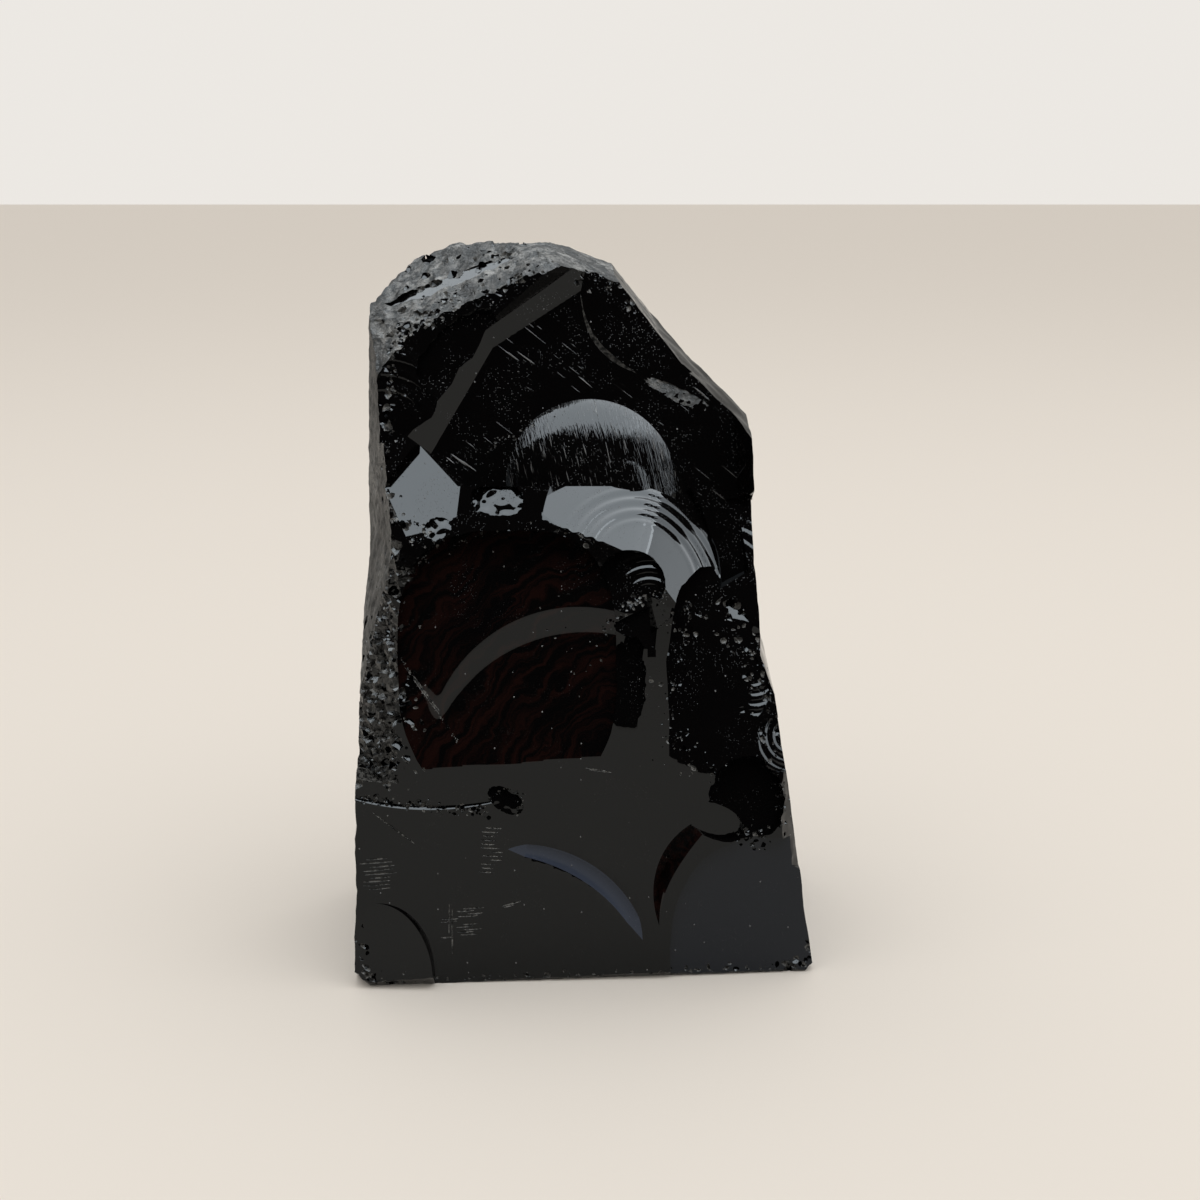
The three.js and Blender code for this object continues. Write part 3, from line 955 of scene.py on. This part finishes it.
def finishMesh(stone):
    bm = bmesh.new()
    bm.from_mesh(stone.data)
    closeBy = 0.004
    bmesh.ops.remove_doubles(bm, verts=bm.verts, dist=closeBy)
    bmesh.ops.dissolve_degenerate(bm, dist=closeBy, edges=bm.edges)
    bmesh.ops.delete(bm, geom=looseCrumbs(bm), context="FACES")
    bmesh.ops.triangulate(bm, faces=[face for face in bm.faces if len(face.verts) > 4])
    for face in bm.faces:
        face.smooth = True
    for edge in bm.edges:
        # the shells on the back have blunter rims than the front's
        crease = radians(28 if edge.verts[0].co.y < 2 else 14)
        edge.smooth = edge.is_manifold and edge.calc_face_angle(0) < crease
    bmesh.ops.scale(bm, vec=(metre, metre, metre), verts=bm.verts)
    bm.to_mesh(stone.data)
    bm.free()


class Value:
    # a number socket that takes part in sums
    def __init__(self, tree, socket):
        self.tree, self.socket = tree, socket

    def math(self, operation, other=0):
        node = addNode(self.tree, "ShaderNodeMath", {"operation": operation}, {0: self, 1: other})
        return Value(self.tree, node.outputs[0])

    def __add__(self, other): return self.math("ADD", other)
    def __radd__(self, other): return self.math("ADD", other)
    def __sub__(self, other): return self.math("SUBTRACT", other)
    def __rsub__(self, other): return (self * -1) + other
    def __mul__(self, other): return self.math("MULTIPLY", other)
    def __rmul__(self, other): return self.math("MULTIPLY", other)

    def ramp(self, start, stop):
        # 0 below start, 1 above stop
        node = addNode(self.tree, "ShaderNodeMapRange", {"interpolation_type": "SMOOTHSTEP"},
                       {0: self, 1: start, 2: stop, 3: 0, 4: 1})
        return Value(self.tree, node.outputs[0])


def addNode(tree, kind, settings=None, inputs=None):
    node = tree.nodes.new(kind)
    for name, value in (settings or {}).items():
        setattr(node, name, value)
    for name, value in (inputs or {}).items():
        if isinstance(value, Value):
            value = value.socket
        if isinstance(value, bpy.types.NodeSocket):
            tree.links.new(value, node.inputs[name])
        else:
            node.inputs[name].default_value = value
    return node


# the haze colour is a painted bluish sheen that stands for reflected light
obsidianLook = {
    "black": (0.0006, 0.0005, 0.0005), "flowBrown": (0.0036, 0.0013, 0.0010),
    "hazeAndPaintedSheen": (0.0125, 0.0155, 0.0235), "dust": (0.07, 0.068, 0.065),
    "darkSkin": (0.006, 0.006, 0.0055), "greySkin": (0.020, 0.019, 0.018),
    "paleSkin": (0.085, 0.082, 0.077), "darkCrush": (0.004, 0.0038, 0.0035),
    "paleCrush": (0.085, 0.082, 0.076), "roughness": 0.035, "ior": 1.37,
    "mirrorTint": (0.90, 0.96, 1.0, 1), "bumpStrength": 0.6, "bumpDepth": 0.4,
}


def obsidianMaterial():
    look = obsidianLook
    material = bpy.data.materials.new("blackObsidian")
    material.use_nodes = True
    tree = material.node_tree
    tree.nodes.clear()
    place = addNode(tree, "ShaderNodeTexCoord").outputs["Object"]
    spot = addNode(tree, "ShaderNodeVectorMath", {"operation": "SCALE"},
                   {0: place, "Scale": 1 / metre}).outputs[0]

    def attribute(name):
        node = addNode(tree, "ShaderNodeAttribute", {"attribute_name": name})
        return Value(tree, node.outputs["Fac"])

    def noiseOf(scale, detail=2, rough=0.5, at=spot):
        node = addNode(tree, "ShaderNodeTexNoise", None,
                       {"Vector": at, "Scale": scale, "Detail": detail, "Roughness": rough})
        return Value(tree, node.outputs["Fac"])

    def mixColour(factor, first, second):
        node = addNode(tree, "ShaderNodeMix", {"data_type": "RGBA"}, {0: factor})
        for index, colour in ((6, first), (7, second)):
            if isinstance(colour, bpy.types.NodeSocket):
                tree.links.new(colour, node.inputs[index])
            else:
                node.inputs[index].default_value = (*colour, 1)
        return node.outputs[2]

    def turned(x, y, z, scale):
        # the place, turned and stretched, for grain that runs one way
        return addNode(tree, "ShaderNodeMapping", {"vector_type": "TEXTURE"},
                       {"Vector": spot, "Rotation": (radians(x), radians(y), radians(z)),
                        "Scale": scale}).outputs[0]

    def specks(scale, size, share):
        # round spots in some of the cells of a scattered lattice
        cells = addNode(tree, "ShaderNodeTexVoronoi", None, {"Vector": spot, "Scale": scale})
        tint = addNode(tree, "ShaderNodeSeparateColor", None, {0: cells.outputs["Color"]})
        chance = Value(tree, tint.outputs[0])
        inside = Value(tree, cells.outputs["Distance"]).ramp(size, size * 0.6)
        return inside * chance.ramp(1 - share, 1 - share + 0.01)

    skin, crushed, flow, hackled, hazeAndPaintedSheen = (attribute(name) for name in finishNames)
    glass = (1 - skin) * (1 - crushed)

    # flow bands, drawn as arcs about a point low on the right
    parts = addNode(tree, "ShaderNodeSeparateXYZ", None, {0: spot})
    east = Value(tree, parts.outputs["X"]) - 14
    up = Value(tree, parts.outputs["Z"]) - 18
    distance = (east * east + up * up).math("POWER", 0.5)
    bearing = up.math("ARCTAN2", east)
    wander = noiseOf(0.22, 3) * 6
    depth = Value(tree, parts.outputs["Y"])
    arcs = addNode(tree, "ShaderNodeCombineXYZ", None,
                   {0: distance * 0.95 + wander, 1: bearing * 1.6, 2: depth * 0.2}).outputs[0]
    brown = flow * noiseOf(1, 4, 0.62, arcs).ramp(0.42, 0.64)
    colour = mixColour(brown, look["black"], look["flowBrown"])
    # hazed faces take a painted bluish sheen of reflected light; their added roughness is real
    colour = mixColour(hazeAndPaintedSheen, colour, look["hazeAndPaintedSheen"])

    # fine broken lines left by the fracture, and white dust in small chips
    hackles = noiseOf(1, 1, 0.5, turned(0, 38, 0, (6.5, 2, 0.3))).ramp(0.68, 0.73)
    hackles *= noiseOf(0.2, 2).ramp(0.46, 0.56) * hackled.ramp(0.7, 0.9)
    fringe = noiseOf(1, 2, 0.5, turned(0, 76, 0, (2.6, 1.6, 0.2))).ramp(0.60, 0.74)
    fringe *= hackled.ramp(0.2, 0.4) * (1 - hackled.ramp(0.7, 0.9))
    height = Value(tree, parts.outputs["Z"])
    dusty = noiseOf(0.22, 3).ramp(0.44, 0.66) * (0.25 + height.ramp(40, 62) * 0.75)
    dusty *= 1 - flow * 0.7
    dust = specks(2.4, 0.17, 0.30).math("MAXIMUM", specks(5, 0.24, 0.30)) * dusty
    dust = dust.math("MAXIMUM", specks(0.8, 0.1, 0.2))
    dust = dust.math("MAXIMUM", hackles * 0.9).math("MAXIMUM", fringe * 0.6) * glass
    colour = mixColour(dust * 0.8, colour, look["dust"])

    patches = noiseOf(0.16, 3, 0.6).ramp(0.35, 0.62)
    pale = mixColour(patches, look["greySkin"], look["paleSkin"])
    skinTone = mixColour(noiseOf(0.9, 6, 0.78).ramp(0.40, 0.62), look["darkSkin"], pale)
    colour = mixColour(skin, colour, skinTone)
    crushTone = mixColour(noiseOf(1.6, 5, 0.75).ramp(0.42, 0.6), look["darkCrush"],
                          look["paleCrush"])
    colour = mixColour(crushed, colour, crushTone)

    rough = look["roughness"] + skin * 0.45 + crushed * 0.4 + hazeAndPaintedSheen * 0.22 + dust * 0.3
    grain = noiseOf(2.2, 4, 0.7) * (skin + crushed * 0.6)
    brushed = noiseOf(1, 2, 0.6, turned(0, 76, 0, (5, 1.6, 0.28))) * hackled.ramp(0.2, 0.4)
    brushed *= 1 - hackled.ramp(0.7, 0.9)
    relief = grain + dust * 0.25 + noiseOf(0.45, 3, 0.6) * 0.03 + brushed * 0.35
    bump = addNode(tree, "ShaderNodeBump", None,
                   {"Height": relief, "Strength": look["bumpStrength"],
                    "Distance": look["bumpDepth"] * metre}).outputs[0]
    shader = addNode(tree, "ShaderNodeBsdfPrincipled", None,
                     {"Base Color": colour, "Roughness": rough, "IOR": look["ior"],
                      "Specular Tint": look["mirrorTint"], "Normal": bump})
    output = addNode(tree, "ShaderNodeOutputMaterial")
    tree.links.new(shader.outputs[0], output.inputs["Surface"])
    return material


stone = breakStone()
surface = bmesh.new()
surface.from_mesh(stone.data)
tree = BVHTree.FromBMesh(surface)
surface.free()
cutScratches(stone, tree)
cutNicks(stone, tree, nickPaths, hitFromFront)
cutNicks(stone, tree, backNickPaths, hitFromRound)
print("nicks", len(stone.data.polygons))
finishMesh(stone)
stone.data.materials.clear()
stone.data.materials.append(obsidianMaterial())
stone.data.calc_loop_triangles()
print("stone", len(stone.data.loop_triangles), "triangles")
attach(stone, "root")
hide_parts("obsidian_chunk")


studio = {
    "floorSize": 6, "floorColour": (0.80, 0.755, 0.70, 1),
    "boxAt": (0.15, -0.12, 0.72), "boxSize": (1.3, 0.95), "boxRadiance": 7.5, "fillRadiance": 0.55,
    "sideAt": (1.0, 0.15, 0.52), "sideSize": (0.9, 1.1), "sideRadiance": 4.5,
    "lampColour": (0.93, 0.97, 1.0), "skyColour": (0.84, 0.81, 0.77, 1),
    "darkRoom": (0.012, 0.012, 0.013, 1), "paleRoom": (0.32, 0.31, 0.29, 1),
    "cameraAt": (2.3, -247.3, 108.4), "cameraPitch": 14, "cameraAngle": 36,
}


def plainMaterial(name, colour):
    material = bpy.data.materials.new(name)
    material.use_nodes = True
    shader = material.node_tree.nodes["Principled BSDF"]
    shader.inputs["Base Color"].default_value = colour
    shader.inputs["Roughness"].default_value = 0.9
    shader.inputs["Specular IOR Level"].default_value = 0.1
    return material


def makeFloor():
    bm = bmesh.new()
    bmesh.ops.create_grid(bm, x_segments=1, y_segments=1, size=studio["floorSize"] / 2)
    mesh = bpy.data.meshes.new("floor")
    bm.to_mesh(mesh)
    bm.free()
    floor = bpy.data.objects.new("floor", mesh)
    bpy.context.scene.collection.objects.link(floor)
    mesh.materials.append(plainMaterial("paleFloor", studio["floorColour"]))
    return floor


def makeLight(name, place, size, radiance, receiver, lean=0):
    # a soft box that lights one object, so that stone and floor are set apart
    lamp = bpy.data.lights.new(name, "AREA")
    lamp.shape, lamp.size, lamp.size_y = "RECTANGLE", size[0], size[1]
    lamp.energy = radiance * pi * size[0] * size[1]
    lamp.color = studio["lampColour"]
    box = bpy.data.objects.new(name, lamp)
    box.location = place
    box.rotation_euler = (0, radians(lean), 0)
    box.visible_camera = False
    bpy.context.scene.collection.objects.link(box)
    lit = bpy.data.collections.new(name + "Lights")
    lit.objects.link(receiver)
    box.light_linking.receiver_collection = lit


def makeWorld():
    world = bpy.data.worlds.new("studio")
    bpy.context.scene.world = world
    world.use_nodes = True
    tree = world.node_tree
    tree.nodes.clear()
    look = addNode(tree, "ShaderNodeTexCoord").outputs["Generated"]
    parts = addNode(tree, "ShaderNodeSeparateXYZ", None, {0: look})
    away, up = Value(tree, parts.outputs["Y"]), Value(tree, parts.outputs["Z"])
    behind = away.ramp(0.5, 0.8) * up.ramp(0.6, 0.3)
    room = addNode(tree, "ShaderNodeMix", {"data_type": "RGBA"}, {0: behind})
    room.inputs[6].default_value = studio["darkRoom"]
    room.inputs[7].default_value = studio["paleRoom"]
    mirrored = addNode(tree, "ShaderNodeLightPath").outputs["Is Glossy Ray"]
    pick = addNode(tree, "ShaderNodeMix", {"data_type": "RGBA"}, {0: mirrored, 7: room.outputs[2]})
    pick.inputs[6].default_value = studio["skyColour"]
    sky = addNode(tree, "ShaderNodeBackground", None, {"Color": pick.outputs[2]})
    output = addNode(tree, "ShaderNodeOutputWorld")
    tree.links.new(sky.outputs[0], output.inputs["Surface"])


def makeCamera():
    lens = bpy.data.cameras.new("camera")
    lens.sensor_fit, lens.angle = "HORIZONTAL", radians(studio["cameraAngle"])
    lens.clip_start = 0.01
    camera = bpy.data.objects.new("camera", lens)
    camera.location = Vector(studio["cameraAt"]) * metre
    camera.rotation_euler = (radians(90 - studio["cameraPitch"]), 0, 0)
    bpy.context.scene.collection.objects.link(camera)
    bpy.context.scene.camera = camera


floor = makeFloor()
makeLight("stoneLight", studio["boxAt"], studio["boxSize"], studio["boxRadiance"], stone)
makeLight("sideLight", studio["sideAt"], studio["sideSize"], studio["sideRadiance"], stone, 90)
makeLight("floorLight", studio["boxAt"], studio["boxSize"], studio["fillRadiance"], floor)
makeWorld()
makeCamera()
bpy.context.scene.view_settings.view_transform = "Standard"
